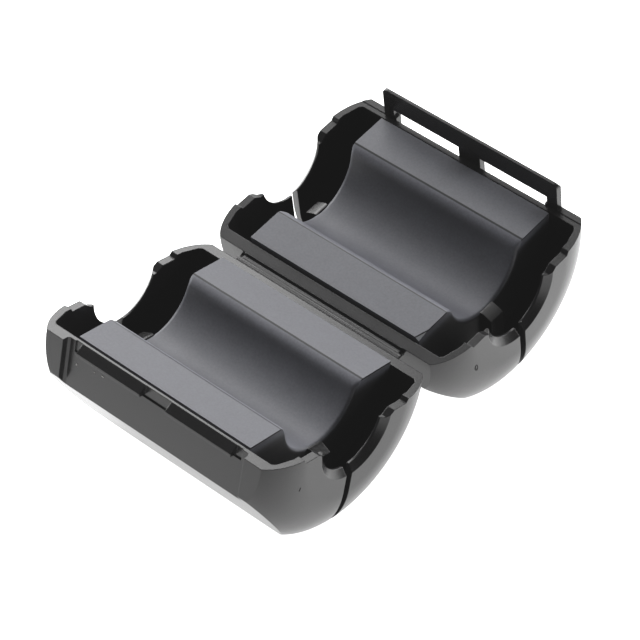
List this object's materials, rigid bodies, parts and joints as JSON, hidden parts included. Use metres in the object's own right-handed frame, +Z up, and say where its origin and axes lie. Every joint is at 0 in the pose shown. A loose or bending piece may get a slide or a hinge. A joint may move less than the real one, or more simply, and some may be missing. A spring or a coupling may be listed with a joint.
{
  "type": "clip-on split ferrite core",
  "caption": "Clip-on noise filter for a round cable: a hinged case with latch, shown open, holds a split ferrite ring, one half in each shell.",
  "frame": {"origin": "on the surface that the opened clip lies on, midway along the cable channels and midway across both halves", "axes": "+X along the cable channels, +Y from the lower half across the hinge to the upper half, +Z up"},
  "size_m": [0.0402, 0.0637, 0.0241],
  "materials": {
    "case_plastic": "black moulded plastic, semi-gloss",
    "ferrite": "grey sintered ferrite, ground mating faces, matt"
  },
  "bodies": {
    "lower": {"lower_case": "case_plastic", "lower_ferrite": "ferrite", "living_hinge": "case_plastic"},
    "upper": {"upper_case": "case_plastic", "upper_ferrite": "ferrite"}
  },
  "joints": [
    {"name": "clip_hinge", "type": "hinge", "parent": "lower", "child": "upper", "pos_m": [0, 0, 0.01475], "axis": [1, 0, 0], "range_deg": [-20, 161.64], "deforming": ["living_hinge"]}
  ]
}
